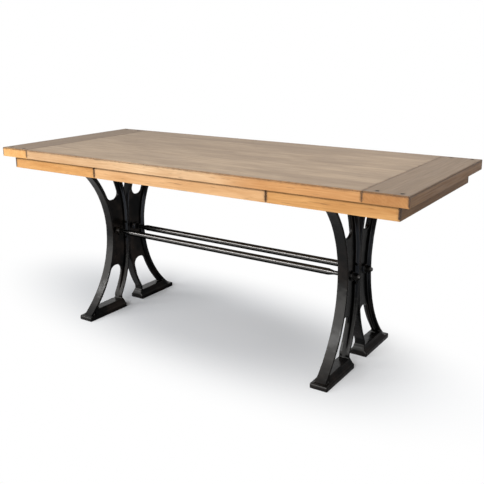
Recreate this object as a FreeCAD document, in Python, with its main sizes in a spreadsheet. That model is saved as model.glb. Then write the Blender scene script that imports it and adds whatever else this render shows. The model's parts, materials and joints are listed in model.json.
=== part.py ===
"""Trestle writing table: a timber top with one centre drawer on two pairs of iron castings.

Millimetres, +Z up. The origin is on the floor under the middle of the top, +X runs along the
table to its right end, and the drawer opens towards -Y.
"""
import FreeCAD
import Part
import Sketcher
import math
import os

doc = FreeCAD.newDocument("writing_table")
V = FreeCAD.Vector

SIZES = {
    # Top
    "table_length": 1829,
    "table_depth": 762,
    "table_height": 762,
    "top_thickness": 38,
    "top_arris": 2,
    "seam_arris": 1,
    "breadboard_width": 152,
    "tongue_length": 55,
    "tongue_thickness": 12,
    "tongue_cover": 10,
    "tongue_end_gap": 1,
    "joint_clearance": 0.2,
    "peg_diameter": 12.7,
    "peg_length": 30,
    "peg_spacing": 80,
    "peg_seam_distance": 41,
    "peg_edge_distance": 23,
    "peg_clearance": 0.15,
    # Apron and what stiffens it
    "apron_height": 51,
    "apron_thickness": 22,
    "apron_end_inset": 38,
    "apron_side_inset": 32,
    "corner_block_leg": 60,
    "corner_block_height": 40,
    "glue_block_section": 20,
    "glue_block_length": 80,
    "bearer_width": 90,
    "bearer_thickness": 39,
    # Drawer
    "jamb_setback": 510.5,
    "drawer_gap": 3,
    "drawer_top_gap": 2,
    "drawer_length": 440,
    "drawer_front_thickness": 22,
    "drawer_front_lap": 8,
    "drawer_wall": 12,
    "drawer_bottom_thickness": 6,
    "drawer_bottom_lift": 6,
    "drawer_groove_depth": 5,
    "finger_groove_length": 240,
    "finger_groove_radius": 6,
    "side_clearance": 1.5,
    "running_clearance": 0.3,
    "guide_thickness": 22,
    "runner_width": 14,
    "runner_height": 10,
    "runner_front_gap": 3,
    "stop_length": 25,
    "stop_height": 25,
    # Trestle castings
    "trestle_setback": 335.5,
    "flange_width": 43,
    "flange_thickness": 9.5,
    "web_thickness": 12,
    "edge_round": 2.5,
    "waist_height": 363,
    "waist_half_width": 106,
    "foot_setback": 100,
    "arm_setback": 126,
    "arm_inner_end": 69,
    "contact_low": 297,
    "contact_high": 420,
    "outer_rim": 27,
    "slot_inner_rim": 31,
    "slot_floor": 512,
    "slot_round": 28,
    "arch_crown": 205,
    "arch_round": 30,
    "arch_crown_inner": 38,
    "arch_floor_inner": 78,
    "plinth_width": 71,
    "plinth_inner_end": 53,
    "plinth_neck": 64,
    "neck_height": 60,
    "plinth_height": 42,
    "slab_height": 20,
    "slab_arris": 4,
    "slab_overhang": 11,
    "cove_ledge": 1,
    "plate_width": 64,
    "plate_thickness": 12,
    "plate_inner_overhang": 18,
    "plate_outer_overhang": 30,
    "boss_diameter": 34,
    # Stretcher rods and their nuts
    "rod_diameter": 25.4,
    "rod_half_spacing": 54,
    "rod_taper": 24,
    "rod_neck": 20,
    "stud_diameter": 16,
    "stud_projection": 8,
    "stud_chamfer": 2,
    "rod_nut_flats": 24,
    "rod_nut_height": 14,
    "rod_washer_diameter": 30,
    "rod_washer_thickness": 3,
    # Bolts and screws
    "thread_clearance": 0.2,
    "plate_bolt_diameter": 8,
    "plate_bolt_flats": 13,
    "plate_bolt_head": 5.5,
    "plate_bolt_bite": 28,
    "plate_bolt_edge": 21,
    "waist_bolt_diameter": 5,
    "waist_bolt_flats": 8,
    "waist_bolt_head": 3.5,
    "waist_bolt_edge": 25,
    "screw_diameter": 5,
    "screw_head_diameter": 10,
    "screw_head_height": 3,
    "screw_bite": 20,
    "bearer_screw_inner": 25,
    "bearer_screw_edge": 22,
    "counterbore_depth": 10,
    "guide_screw_spacing": 240,
}

sheet = doc.addObject("Spreadsheet::Sheet", "Sizes")
for row, (alias, number) in enumerate(SIZES.items(), start=1):
    sheet.set(f"A{row}", alias)
    sheet.set(f"B{row}", str(number))
    sheet.setAlias(f"B{row}", alias)
doc.recompute()


class Length:
    """A size that carries both its present value and the formula that ties it to the sheet."""

    def __init__(self, value, formula):
        self.value = value
        self.formula = formula

    def __add__(self, other):
        other = length(other)
        return Length(self.value + other.value, f"({self.formula} + {other.formula})")

    def __sub__(self, other):
        other = length(other)
        return Length(self.value - other.value, f"({self.formula} - {other.formula})")

    def __mul__(self, other):
        other = length(other)
        return Length(self.value * other.value, f"({self.formula} * {other.formula})")

    def __truediv__(self, other):
        other = length(other)
        return Length(self.value / other.value, f"({self.formula} / {other.formula})")

    def __neg__(self):
        return self * -1


def length(number):
    if isinstance(number, Length):
        return number
    return Length(float(number), str(number))


class Sizes:
    """The sheet's cells by name."""

    def __getattr__(self, alias):
        return Length(float(SIZES[alias]), f"Sizes.{alias}")


size = Sizes()
ZERO = length(0)
SIDES = {"left": -1, "right": 1}
ENDS = {"front": -1, "back": 1}


def root(area):
    return Length(math.sqrt(area.value), f"sqrt({area.formula})")


def arc_radius(rise, reach):
    """The radius of a circle that moves sideways by reach while it rises from its tangent point."""
    return (rise * rise + reach * reach) / (reach * 2)


def arc_reach(radius, rise):
    """How far a circle has moved sideways from its tangent point after rising this much."""
    return radius - root(radius * radius - rise * rise)


# Places that several pieces share
half_length = size.table_length / 2
half_depth = size.table_depth / 2
top_underside = size.table_height - size.top_thickness
apron_bottom = top_underside - size.apron_height
apron_outer_x = half_length - size.apron_end_inset
apron_inner_x = apron_outer_x - size.apron_thickness
apron_outer_y = half_depth - size.apron_side_inset
apron_inner_y = apron_outer_y - size.apron_thickness
seam = half_length - size.breadboard_width
tongue_end = seam + size.tongue_length
tongue_half_depth = half_depth - size.tongue_cover
tongue_lift = (size.top_thickness - size.tongue_thickness) / 2
peg_y = half_depth - size.peg_edge_distance
peg_inner_x = seam + size.peg_seam_distance
peg_outer_x = peg_inner_x + size.peg_spacing
opening_half = half_length - size.jamb_setback
drawer_half = opening_half - size.drawer_gap
drawer_inner_half = drawer_half - size.drawer_wall
guide_inner = drawer_half + size.side_clearance
guide_outer = guide_inner + size.guide_thickness
runner_top = apron_bottom + size.runner_height
drawer_side_bottom = runner_top + size.running_clearance
drawer_top = top_underside - size.drawer_top_gap
drawer_panel_bottom = drawer_side_bottom + size.drawer_bottom_lift
drawer_panel_top = drawer_panel_bottom + size.drawer_bottom_thickness
drawer_front_y = -apron_outer_y
drawer_front_inner_y = drawer_front_y + size.drawer_front_thickness
drawer_rear_y = drawer_front_y + size.drawer_length
bearer_bottom = top_underside - size.bearer_thickness
trestle_x = half_length - size.trestle_setback
bearer_inner = trestle_x - size.bearer_width / 2
bearer_outer = trestle_x + size.bearer_width / 2
arm_top = bearer_bottom - size.plate_thickness
boss_inner = trestle_x - size.flange_width / 2
boss_outer = trestle_x + size.flange_width / 2
nut_inner_face = boss_inner - size.rod_washer_thickness - size.rod_nut_height
nut_outer_face = boss_outer + size.rod_washer_thickness + size.rod_nut_height
rod_half_length = nut_outer_face + size.stud_projection
guide_screw_places = [-size.guide_screw_spacing, ZERO, size.guide_screw_spacing]
bearer_screw_places = [size.bearer_screw_inner, apron_inner_y - size.bearer_screw_edge]

# The bowed edges of the castings: each is a pair of arcs, tangent at the waist
foot_end = half_depth - size.foot_setback
arm_end = half_depth - size.arm_setback
flange_foot = foot_end - size.slab_overhang
outer_foot_radius = arc_radius(size.waist_height - size.slab_height, flange_foot - size.waist_half_width)
outer_arm_radius = arc_radius(arm_top - size.waist_height, arm_end - size.waist_half_width)
inner_foot_radius = arc_radius(size.contact_low - size.neck_height, size.plinth_neck)
inner_arm_radius = arc_radius(arm_top - size.contact_high, size.arm_inner_end)
outer_foot_centre = (size.waist_half_width + outer_foot_radius, size.waist_height)
outer_arm_centre = (size.waist_half_width + outer_arm_radius, size.waist_height)
inner_foot_centre = (inner_foot_radius, size.contact_low)
inner_arm_centre = (inner_arm_radius, size.contact_high)

# The slot between the arms, and the bolts that stand in it
slot_outer_radius = outer_arm_radius + size.outer_rim
slot_inner_radius = inner_arm_radius - size.slot_inner_rim
slot_outer_waist = size.waist_half_width - size.outer_rim
slot_outer_top = slot_outer_waist + arc_reach(slot_outer_radius, arm_top - size.waist_height)
slot_inner_top = size.slot_inner_rim + arc_reach(slot_inner_radius, arm_top - size.contact_high)
plate_bolt_places = [slot_inner_top + size.plate_bolt_edge, slot_outer_top - size.plate_bolt_edge]
waist_bolt_offset = (size.web_thickness / 2 + size.flange_width / 2 - size.edge_round) / 2
waist_bolt_heights = [size.contact_low + size.waist_bolt_edge, size.contact_high - size.waist_bolt_edge]

subparts = []


def keep(item, label):
    """Give a finished sub-part its name and put it on the list of files to write."""
    item.Label = label
    subparts.append(item)
    return item


def bind(item, **properties):
    for name, value in properties.items():
        item.setExpression(name, length(value).formula)


def place(item, x, y, z):
    for axis, value in zip("xyz", (x, y, z)):
        item.setExpression(f"Placement.Base.{axis}", length(value).formula)


# Primitives for boards, bars and fasteners
def board(name, low, high):
    box = doc.addObject("Part::Box", name)
    bind(box, Length=high[0] - low[0], Width=high[1] - low[1], Height=high[2] - low[2])
    place(box, *low)
    return box


TURN = {
    "x": FreeCAD.Rotation(V(0, 1, 0), 90),
    "y": FreeCAD.Rotation(V(1, 0, 0), -90),
    "z": FreeCAD.Rotation(),
}


def bar(name, diameter, run, start, axis):
    """A round bar from start, running the given way along one axis."""
    cylinder = doc.addObject("Part::Cylinder", name)
    bind(cylinder, Radius=diameter / 2, Height=run)
    cylinder.Placement = FreeCAD.Placement(V(), TURN[axis])
    place(cylinder, *start)
    return cylinder


def hexagon(name, flats, run, start, axis):
    prism = doc.addObject("Part::Prism", name)
    prism.Polygon = 6
    bind(prism, Circumradius=flats / math.sqrt(3), Height=run)
    prism.Placement = FreeCAD.Placement(V(), TURN[axis])
    place(prism, *start)
    return prism


def group(name, members):
    compound = doc.addObject("Part::Compound", name)
    compound.Links = members
    return compound


def cut(name, base, tools):
    result = doc.addObject("Part::Cut", name)
    result.Base = base
    result.Tool = tools[0] if len(tools) == 1 else group(f"{name}_tools", tools)
    return result


def fuse(name, first, second):
    result = doc.addObject("Part::Fuse", name)
    result.Base = first
    result.Tool = second
    return result


# Sketches and features for pieces with shaped outlines
def new_body(label, x=ZERO, y=ZERO, z=ZERO, half_turn=False):
    body = doc.addObject("PartDesign::Body", label)
    if half_turn:
        body.Placement = FreeCAD.Placement(V(), FreeCAD.Rotation(V(0, 0, 1), 180))
    place(body, x, y, z)
    return keep(body, label)


def origin_feature(body, role):
    return next(feature for feature in body.Origin.OriginFeatures if feature.Role == role)


def new_sketch(body, plane, name, offset=ZERO):
    sketch = body.newObject("Sketcher::SketchObject", name)
    sketch.AttachmentSupport = [(origin_feature(body, plane), "")]
    sketch.MapMode = "FlatFace"
    sketch.setExpression("AttachmentOffset.Base.z", length(offset).formula)
    return sketch


def measure(sketch, kind, geometry, point, value):
    """Hold one coordinate of a sketch point, measured from the sketch's origin."""
    if value.formula == ZERO.formula:
        axis = -2 if kind == "DistanceX" else -1
        sketch.addConstraint(Sketcher.Constraint("PointOnObject", geometry, point, axis))
        return
    index = sketch.addConstraint(Sketcher.Constraint(kind, -1, 1, geometry, point, value.value))
    sketch.setExpression(f"Constraints[{index}]", value.formula)


def hold_radius(sketch, geometry, radius):
    index = sketch.addConstraint(Sketcher.Constraint("Radius", geometry, radius.value))
    sketch.setExpression(f"Constraints[{index}]", radius.formula)


class Arc:
    """A round stretch of an outline: about a stated centre, or of a stated radius to one side."""

    def __init__(self, radius, centre=None, hollow=False):
        self.radius = radius
        self.centre = centre
        self.hollow = hollow

    def sideways(self, height):
        """The point of the arc at this height, on its side nearest the trestle's middle."""
        across, up = self.centre
        return across.value - math.sqrt(self.radius.value ** 2 - (height - up.value) ** 2)

    def middle(self, start, end):
        if self.centre:
            return V(self.centre[0].value, self.centre[1].value, 0)
        chord = end - start
        reach = math.sqrt(self.radius.value ** 2 - (chord.Length / 2) ** 2)
        square = V(-chord.y, chord.x, 0).normalize()
        return (start + end) / 2 + square * (-reach if self.hollow else reach)


def corner_guess(corner, arcs_beside):
    across, up = corner
    if across is None:
        return V(arcs_beside[0].sideways(up.value), up.value, 0)
    return V(across.value, up.value, 0)


def arc_geometry(arc, start, end):
    """The sketch's arc, and which of its ends lie at start and end."""
    middle = arc.middle(start, end)
    first = math.atan2(start.y - middle.y, start.x - middle.x)
    last = math.atan2(end.y - middle.y, end.x - middle.x)
    forward = (last - first) % (2 * math.pi) < math.pi
    low, high = (first, last) if forward else (last, first)
    circle = Part.Circle(middle, V(0, 0, 1), arc.radius.value)
    return Part.ArcOfCircle(circle, low, high), ((1, 2) if forward else (2, 1))


def outline(sketch, corners, arcs=None):
    """Draw a closed outline and hold it: straight from corner to corner, except where arcs has an Arc.

    A corner whose first coordinate is None lies on the arc beside it, at the height that is given.
    """
    arcs = arcs or {}
    count = len(corners)
    beside = [[arcs[k] for k in (i, (i - 1) % count) if k in arcs] for i in range(count)]
    points = [corner_guess(corner, beside[i]) for i, corner in enumerate(corners)]
    base = len(sketch.Geometry)
    ends = []
    for i, start in enumerate(points):
        end = points[(i + 1) % count]
        if i in arcs:
            shape, order = arc_geometry(arcs[i], start, end)
        else:
            shape, order = Part.LineSegment(start, end), (1, 2)
        sketch.addGeometry(shape)
        ends.append(order)
    for i in range(count):
        after = (i + 1) % count
        joint = Sketcher.Constraint("Coincident", base + i, ends[i][1], base + after, ends[after][0])
        sketch.addConstraint(joint)
    for i, (across, up) in enumerate(corners):
        if across is not None:
            measure(sketch, "DistanceX", base + i, ends[i][0], across)
        measure(sketch, "DistanceY", base + i, ends[i][0], up)
    settled = [across is not None for across, up in corners]
    for i, arc in arcs.items():
        after = (i + 1) % count
        if arc.centre:
            measure(sketch, "DistanceX", base + i, 3, arc.centre[0])
            measure(sketch, "DistanceY", base + i, 3, arc.centre[1])
        if not arc.centre or not (settled[i] or settled[after]):
            hold_radius(sketch, base + i, arc.radius)
        settled[i] = True
        settled[after] = True


def rectangle(sketch, low, high):
    outline(sketch, [low, (high[0], low[1]), high, (low[0], high[1])])


def circles(sketch, places, diameter):
    for across, up in places:
        circle = Part.Circle(V(across.value, up.value, 0), V(0, 0, 1), diameter.value / 2)
        index = sketch.addGeometry(circle)
        measure(sketch, "DistanceX", index, 3, across)
        measure(sketch, "DistanceY", index, 3, up)
        hold_radius(sketch, index, diameter / 2)


def pad(body, sketch, thickness, symmetric=False, backwards=False):
    feature = body.newObject("PartDesign::Pad", f"{sketch.Name}_pad")
    feature.Profile = sketch
    bind(feature, Length=thickness)
    feature.SideType = "Symmetric" if symmetric else "One side"
    feature.Reversed = backwards
    doc.recompute()
    return feature


def pocket(body, sketch, depth=None, symmetric=False, backwards=False):
    """Cut a sketch away, to a depth or right through, and make sure that something was cut."""
    before = body.Shape.Volume
    feature = body.newObject("PartDesign::Pocket", f"{sketch.Name}_pocket")
    feature.Profile = sketch
    if depth is None:
        feature.Type = "ThroughAll"
    else:
        bind(feature, Length=depth)
    feature.SideType = "Symmetric" if symmetric else "One side"
    feature.Reversed = backwards
    doc.recompute()
    if body.Shape.Volume >= before:
        raise RuntimeError(f"{body.Label}: {sketch.Label} cuts nothing")
    return feature


def matching_edges(body, test):
    names = [f"Edge{i}" for i, edge in enumerate(body.Tip.Shape.Edges, start=1) if test(edge)]
    if not names:
        raise RuntimeError(f"{body.Label}: no edge to dress")
    return names


def dress(body, kind, value, test):
    """Fillet or chamfer the edges that pass the test."""
    names = matching_edges(body, test)
    dressed = body.Tip
    feature = body.newObject(f"PartDesign::{kind}", f"{body.Name}_{kind}")
    feature.Base = (dressed, names)
    bind(feature, **{"Radius" if kind == "Fillet" else "Size": value})
    doc.recompute()
    return feature


def near(a, b):
    return abs(a - b) < 1e-6


def level_at(edge, height):
    return near(edge.BoundBox.ZMin, height) and near(edge.BoundBox.ZMax, height)


# Top: the panel with its tongues, and the breadboard ends
def make_top_panel():
    body = new_body("top_panel", z=top_underside)
    plan = new_sketch(body, "XY_Plane", "panel_plan")
    rectangle(plan, (-seam, -half_depth), (seam, half_depth))
    pad(body, plan, size.top_thickness)
    at_top = size.top_thickness.value

    def long_arris(edge):
        return level_at(edge, at_top) and near(abs(edge.CenterOfMass.y), half_depth.value)

    def seam_edge(edge):
        return level_at(edge, at_top) and near(abs(edge.CenterOfMass.x), seam.value)

    dress(body, "Chamfer", size.top_arris, long_arris)
    dress(body, "Chamfer", size.seam_arris, seam_edge)
    tongue = new_sketch(body, "XY_Plane", "tongue_plan", tongue_lift)
    rectangle(tongue, (-tongue_end, -tongue_half_depth), (tongue_end, tongue_half_depth))
    pad(body, tongue, size.tongue_thickness)
    pegs = new_sketch(body, "XY_Plane", "tongue_peg_holes", tongue_lift)
    places = [(peg_inner_x * i, peg_y * j) for i in (-1, 1) for j in (-1, 1)]
    circles(pegs, places, size.peg_diameter + size.peg_clearance * 2)
    pocket(body, pegs, size.tongue_thickness, backwards=True)
    screws = new_sketch(body, "XY_Plane", "screw_holes")
    circles(screws, top_screw_places(), size.screw_diameter + size.thread_clearance * 2)
    pocket(body, screws, size.screw_bite, backwards=True)


def top_screw_places():
    """Where screws enter the underside of the top: through the bearers and through the drawer guides."""
    bearer_rows = [y * j for j in (-1, 1) for y in bearer_screw_places]
    bearer = [(trestle_x * i, y) for i in (-1, 1) for y in bearer_rows]
    guide_middle = guide_inner + size.guide_thickness / 2
    guide = [(guide_middle * i, y) for i in (-1, 1) for y in guide_screw_places]
    return bearer + guide


def make_breadboard(side, sign):
    body = new_body(f"breadboard_{side}", z=top_underside)
    plan = new_sketch(body, "XY_Plane", f"breadboard_{side}_plan")
    rectangle(plan, (seam * sign, -half_depth), (half_length * sign, half_depth))
    pad(body, plan, size.top_thickness)
    at_top = size.top_thickness.value

    def seam_edge(edge):
        return level_at(edge, at_top) and near(edge.CenterOfMass.x, seam.value * sign)

    def outer_arris(edge):
        ends = near(abs(edge.CenterOfMass.y), half_depth.value)
        return level_at(edge, at_top) and (ends or near(edge.CenterOfMass.x, half_length.value * sign))

    dress(body, "Chamfer", size.top_arris, outer_arris)
    dress(body, "Chamfer", size.seam_arris, seam_edge)
    groove = new_sketch(body, "XY_Plane", f"breadboard_{side}_groove", tongue_lift - size.joint_clearance)
    groove_half = tongue_half_depth + size.joint_clearance
    groove_end = (tongue_end + size.tongue_end_gap) * sign
    rectangle(groove, (seam * sign, -groove_half), (groove_end, groove_half))
    pocket(body, groove, size.tongue_thickness + size.joint_clearance * 2, backwards=True)
    pegs = new_sketch(body, "XY_Plane", f"breadboard_{side}_peg_holes", size.top_thickness)
    places = [(x * sign, peg_y * j) for x in (peg_inner_x, peg_outer_x) for j in (-1, 1)]
    circles(pegs, places, size.peg_diameter + size.peg_clearance * 2)
    pocket(body, pegs, size.peg_length)


def make_pegs():
    foot = size.table_height - size.peg_length
    pegs = []
    for sign in SIDES.values():
        for x in (peg_inner_x, peg_outer_x):
            for end in ENDS.values():
                start = (x * sign, peg_y * end, foot)
                pegs.append(bar("peg", size.peg_diameter, size.peg_length, start, "z"))
    keep(group("pegs", pegs), "breadboard_pegs")


# Apron
def make_apron_piece(label, corners):
    body = new_body(label, z=apron_bottom)
    plan = new_sketch(body, "XY_Plane", f"{label}_plan")
    outline(plan, corners)
    pad(body, plan, size.apron_height)


def make_aprons():
    """Mitred at the corners; the front is two short pieces, one each side of the drawer."""
    for side, sign in SIDES.items():
        outer_x, inner_x, jamb = apron_outer_x * sign, apron_inner_x * sign, opening_half * sign
        front = [(outer_x, -apron_outer_y), (jamb, -apron_outer_y), (jamb, -apron_inner_y),
                 (inner_x, -apron_inner_y)]
        make_apron_piece(f"front_apron_{side}", front)
        end = [(outer_x, -apron_outer_y), (inner_x, -apron_inner_y), (inner_x, apron_inner_y),
               (outer_x, apron_outer_y)]
        make_apron_piece(f"end_apron_{side}", end)
    back = [(-apron_outer_x, apron_outer_y), (-apron_inner_x, apron_inner_y),
            (apron_inner_x, apron_inner_y), (apron_outer_x, apron_outer_y)]
    make_apron_piece("back_apron", back)


def make_corner_blocks():
    for side, sign in SIDES.items():
        for end, turn in ENDS.items():
            label = f"corner_block_{end}_{side}"
            body = new_body(label, z=top_underside - size.corner_block_height)
            plan = new_sketch(body, "XY_Plane", f"{label}_plan")
            x, y = apron_inner_x * sign, apron_inner_y * turn
            leg = size.corner_block_leg
            outline(plan, [(x, y), (x - leg * sign, y), (x, y - leg * turn)])
            pad(body, plan, size.corner_block_height)


def glue_block(x, y, along_x):
    """A square block in the angle between apron and top, centred at x, y."""
    half_run, half_section = size.glue_block_length / 2, size.glue_block_section / 2
    reach_x, reach_y = (half_run, half_section) if along_x else (half_section, half_run)
    low = (x - reach_x, y - reach_y, top_underside - size.glue_block_section)
    return board("glue_block", low, (x + reach_x, y + reach_y, top_underside))


def make_glue_blocks():
    beside_drawer = (guide_outer + bearer_inner) / 2
    beside_corner = (bearer_outer + apron_inner_x - size.corner_block_leg) / 2
    along_front = apron_inner_y - size.glue_block_section / 2
    along_end = apron_inner_x - size.glue_block_section / 2
    blocks = []
    for sign in SIDES.values():
        for end in ENDS.values():
            for x in (beside_drawer, beside_corner):
                blocks.append(glue_block(x * sign, along_front * end, True))
            blocks.append(glue_block(along_end * sign, apron_inner_y / 2 * end, False))
        blocks.append(glue_block(guide_inner / 2 * sign, along_front, True))
    keep(group("apron_blocks", blocks), "glue_blocks")


# Bearers over the trestles
def make_bearer(side, sign):
    x = trestle_x * sign
    low = (x - size.bearer_width / 2, -apron_inner_y, bearer_bottom)
    blank = board(f"bearer_{side}_blank", low, (x + size.bearer_width / 2, apron_inner_y, top_underside))
    shank = size.screw_diameter + size.thread_clearance * 2
    mouth = size.screw_head_diameter + size.thread_clearance * 2
    bolt = size.plate_bolt_diameter + size.thread_clearance * 2
    holes = []
    for end in ENDS.values():
        for y in bearer_screw_places:
            start = (x, y * end, bearer_bottom)
            holes.append(bar("screw_hole", shank, size.bearer_thickness, start, "z"))
            holes.append(bar("screw_mouth", mouth, size.counterbore_depth, start, "z"))
        for y in plate_bolt_places:
            holes.append(bar("bolt_hole", bolt, size.plate_bolt_bite, (x, y * end, bearer_bottom), "z"))
    keep(cut(f"bearer_{side}_drilled", blank, holes), f"bearer_{side}")


def screw(start, run, axis="z"):
    """A pan-headed wood screw: the head begins at start and the shank runs on from it."""
    head = bar("screw_head", size.screw_head_diameter, size.screw_head_height, start, axis)
    shift = {"x": 0, "y": 1, "z": 2}[axis]
    neck = list(start)
    neck[shift] = neck[shift] + size.screw_head_height
    shank = bar("screw_shank", size.screw_diameter, run, neck, axis)
    return fuse("screw", head, shank)


def make_bearer_screws():
    seat = bearer_bottom + size.counterbore_depth
    run = top_underside + size.screw_bite - seat
    screws = []
    for sign in SIDES.values():
        for end in ENDS.values():
            for y in bearer_screw_places:
                start = (trestle_x * sign, y * end, seat - size.screw_head_height)
                screws.append(screw(start, run))
    keep(group("top_screws", screws), "bearer_screws")


# Drawer: the box
def make_drawer_front():
    low = (-drawer_half, drawer_front_y, apron_bottom)
    blank = board("drawer_front_blank", low, (drawer_half, drawer_front_inner_y, drawer_top))
    housings = []
    for sign in SIDES.values():
        inner, outer = drawer_inner_half * sign, drawer_half * sign
        left, right = (inner, outer) if sign > 0 else (outer, inner)
        corner = (left, drawer_front_y + size.drawer_front_lap, drawer_side_bottom)
        housings.append(board("side_housing", corner, (right, drawer_front_inner_y, drawer_top)))
    groove_half = drawer_inner_half
    groove_low = (-groove_half, drawer_front_inner_y - size.drawer_groove_depth, drawer_panel_bottom)
    groove = board("front_groove", groove_low, (groove_half, drawer_front_inner_y, drawer_panel_top))
    grip_y = drawer_front_y + size.drawer_front_thickness / 2
    grip_start = (-size.finger_groove_length / 2, grip_y, apron_bottom)
    grip = bar("finger_groove", size.finger_groove_radius * 2, size.finger_groove_length, grip_start, "x")
    keep(cut("drawer_front_cut", blank, housings + [groove, grip]), "drawer_front")


def make_drawer_side(side, sign):
    inner, outer = drawer_inner_half * sign, drawer_half * sign
    left, right = (inner, outer) if sign > 0 else (outer, inner)
    start = drawer_front_y + size.drawer_front_lap
    low = (left, start, drawer_side_bottom)
    blank = board(f"drawer_side_{side}_blank", low, (right, drawer_rear_y, drawer_top))
    groove_wall = (drawer_inner_half + size.drawer_groove_depth) * sign
    left, right = (inner, groove_wall) if sign > 0 else (groove_wall, inner)
    low = (left, start, drawer_panel_bottom)
    groove = board(f"side_groove_{side}", low, (right, drawer_rear_y, drawer_panel_top))
    keep(cut(f"drawer_side_{side}_cut", blank, [groove]), f"drawer_side_{side}")


def make_drawer_back_and_bottom():
    low = (-drawer_inner_half, drawer_rear_y - size.drawer_wall, drawer_panel_top)
    keep(board("drawer_back_board", low, (drawer_inner_half, drawer_rear_y, drawer_top)), "drawer_back")
    reach = drawer_inner_half + size.drawer_groove_depth - size.joint_clearance
    start = drawer_front_inner_y - size.drawer_groove_depth + size.joint_clearance
    tongue_half = drawer_inner_half - size.joint_clearance
    panel = board("drawer_bottom_panel", (-reach, drawer_front_inner_y, drawer_panel_bottom),
                  (reach, drawer_rear_y, drawer_panel_top))
    lip = board("drawer_bottom_lip", (-tongue_half, start, drawer_panel_bottom),
                (tongue_half, drawer_front_inner_y, drawer_panel_top))
    keep(fuse("drawer_bottom_board", panel, lip), "drawer_bottom")


# Drawer: what it runs on
def make_drawer_guide(side, sign):
    inner, outer = guide_inner * sign, guide_outer * sign
    left, right = (inner, outer) if sign > 0 else (outer, inner)
    low = (left, -apron_inner_y, apron_bottom)
    blank = board(f"guide_{side}_blank", low, (right, apron_inner_y, top_underside))
    middle = (inner + outer) / 2
    shank = size.screw_diameter + size.thread_clearance * 2
    mouth = size.screw_head_diameter + size.thread_clearance * 2
    holes = []
    for y in guide_screw_places:
        holes.append(bar("guide_hole", shank, size.apron_height, (middle, y, apron_bottom), "z"))
        holes.append(bar("guide_mouth", mouth, size.counterbore_depth, (middle, y, apron_bottom), "z"))
    keep(cut(f"guide_{side}_drilled", blank, holes), f"drawer_guide_{side}")


def make_guide_screws():
    seat = apron_bottom + size.counterbore_depth
    run = top_underside + size.screw_bite - seat
    middle = guide_inner + size.guide_thickness / 2
    screws = []
    for sign in SIDES.values():
        for y in guide_screw_places:
            screws.append(screw((middle * sign, y, seat - size.screw_head_height), run))
    keep(group("guide_screw_set", screws), "guide_screws")


def make_drawer_runner(side, sign):
    inner, outer = (guide_inner - size.runner_width) * sign, guide_inner * sign
    left, right = (inner, outer) if sign > 0 else (outer, inner)
    low = (left, -apron_inner_y + size.runner_front_gap, apron_bottom)
    strip = board(f"runner_{side}_strip", low, (right, apron_inner_y, runner_top))
    keep(strip, f"drawer_runner_{side}")


def make_drawer_stops():
    """Blocks on the runners that the drawer's sides meet when it is shut."""
    start = drawer_rear_y + size.running_clearance
    stops = []
    for sign in SIDES.values():
        inner, outer = (guide_inner - size.runner_width) * sign, guide_inner * sign
        left, right = (inner, outer) if sign > 0 else (outer, inner)
        high = (right, start + size.stop_length, runner_top + size.stop_height)
        stops.append(board("stop_block", (left, start, runner_top), high))
    keep(group("stop_blocks", stops), "drawer_stops")


# Trestle castings
def side_outline(sketch, inset, bottom):
    """The casting's side view, or the same drawn inside it by inset: two bowed edges from foot to arm."""
    corners = [(None, bottom), (None, size.waist_height), (None, arm_top), (None, arm_top),
               (inset, size.contact_high), (inset, size.contact_low), (None, size.neck_height),
               (size.plinth_neck + inset, bottom)]
    arcs = {0: Arc(outer_foot_radius + inset, outer_foot_centre),
            1: Arc(outer_arm_radius + inset, outer_arm_centre),
            3: Arc(inner_arm_radius - inset, inner_arm_centre),
            5: Arc(inner_foot_radius - inset, inner_foot_centre)}
    outline(sketch, corners, arcs)


def casting_block(body, name):
    """The full width of the casting in side view, standing on the slab, with its long edges rounded."""
    sketch = new_sketch(body, "YZ_Plane", f"{name}_outline")
    side_outline(sketch, ZERO, size.slab_height)
    pad(body, sketch, size.flange_width, symmetric=True)
    face = size.flange_width.value / 2

    def long_edge(edge):
        on_face = near(edge.BoundBox.XMin, edge.BoundBox.XMax) and near(abs(edge.BoundBox.XMin), face)
        return on_face and edge.BoundBox.ZLength > size.flange_width.value

    dress(body, "Fillet", size.edge_round, long_edge)


def casting_plinth(body, name):
    """The foot: a slab with a coved shoulder that stops short of its outer end, behind the flange."""
    half, neck = size.plinth_width / 2, size.flange_width / 2 + size.cove_ledge
    shoulder = half - size.slab_arris
    slab, top = size.slab_height, size.plinth_height
    profile = new_sketch(body, "XZ_Plane", f"{name}_plinth", -size.plinth_inner_end)
    corners = [(-half, ZERO), (half, ZERO), (half, slab - size.slab_arris), (shoulder, slab), (neck, top),
               (-neck, top), (-shoulder, slab), (-half, slab - size.slab_arris)]
    arris = Arc(size.slab_arris)
    cove = Arc(arc_radius(top - slab, shoulder - neck), hollow=True)
    outline(profile, corners, {2: arris, 3: cove, 5: cove, 6: arris})
    pad(body, profile, foot_end - size.plinth_inner_end, backwards=True)
    ends = new_sketch(body, "YZ_Plane", f"{name}_plinth_ends")
    inner, inner_neck = size.plinth_inner_end, size.plinth_neck - size.cove_ledge
    inner_cove = Arc(arc_radius(top - slab, inner_neck - inner), hollow=True)
    outline(ends, [(inner, slab), (inner_neck, top), (ZERO, top), (ZERO, slab)], {0: inner_cove})
    behind_flange = Arc(outer_foot_radius + size.flange_thickness, outer_foot_centre)
    beyond = foot_end + size.plinth_width
    outline(ends, [(None, slab), (None, top), (beyond, top), (beyond, slab)], {0: behind_flange})
    pocket(body, ends, symmetric=True)

    def outer_edge(edge):
        return near(edge.BoundBox.YMin, foot_end.value) and level_at(edge, slab.value)

    dress(body, "Chamfer", size.edge_round, outer_edge)


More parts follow.
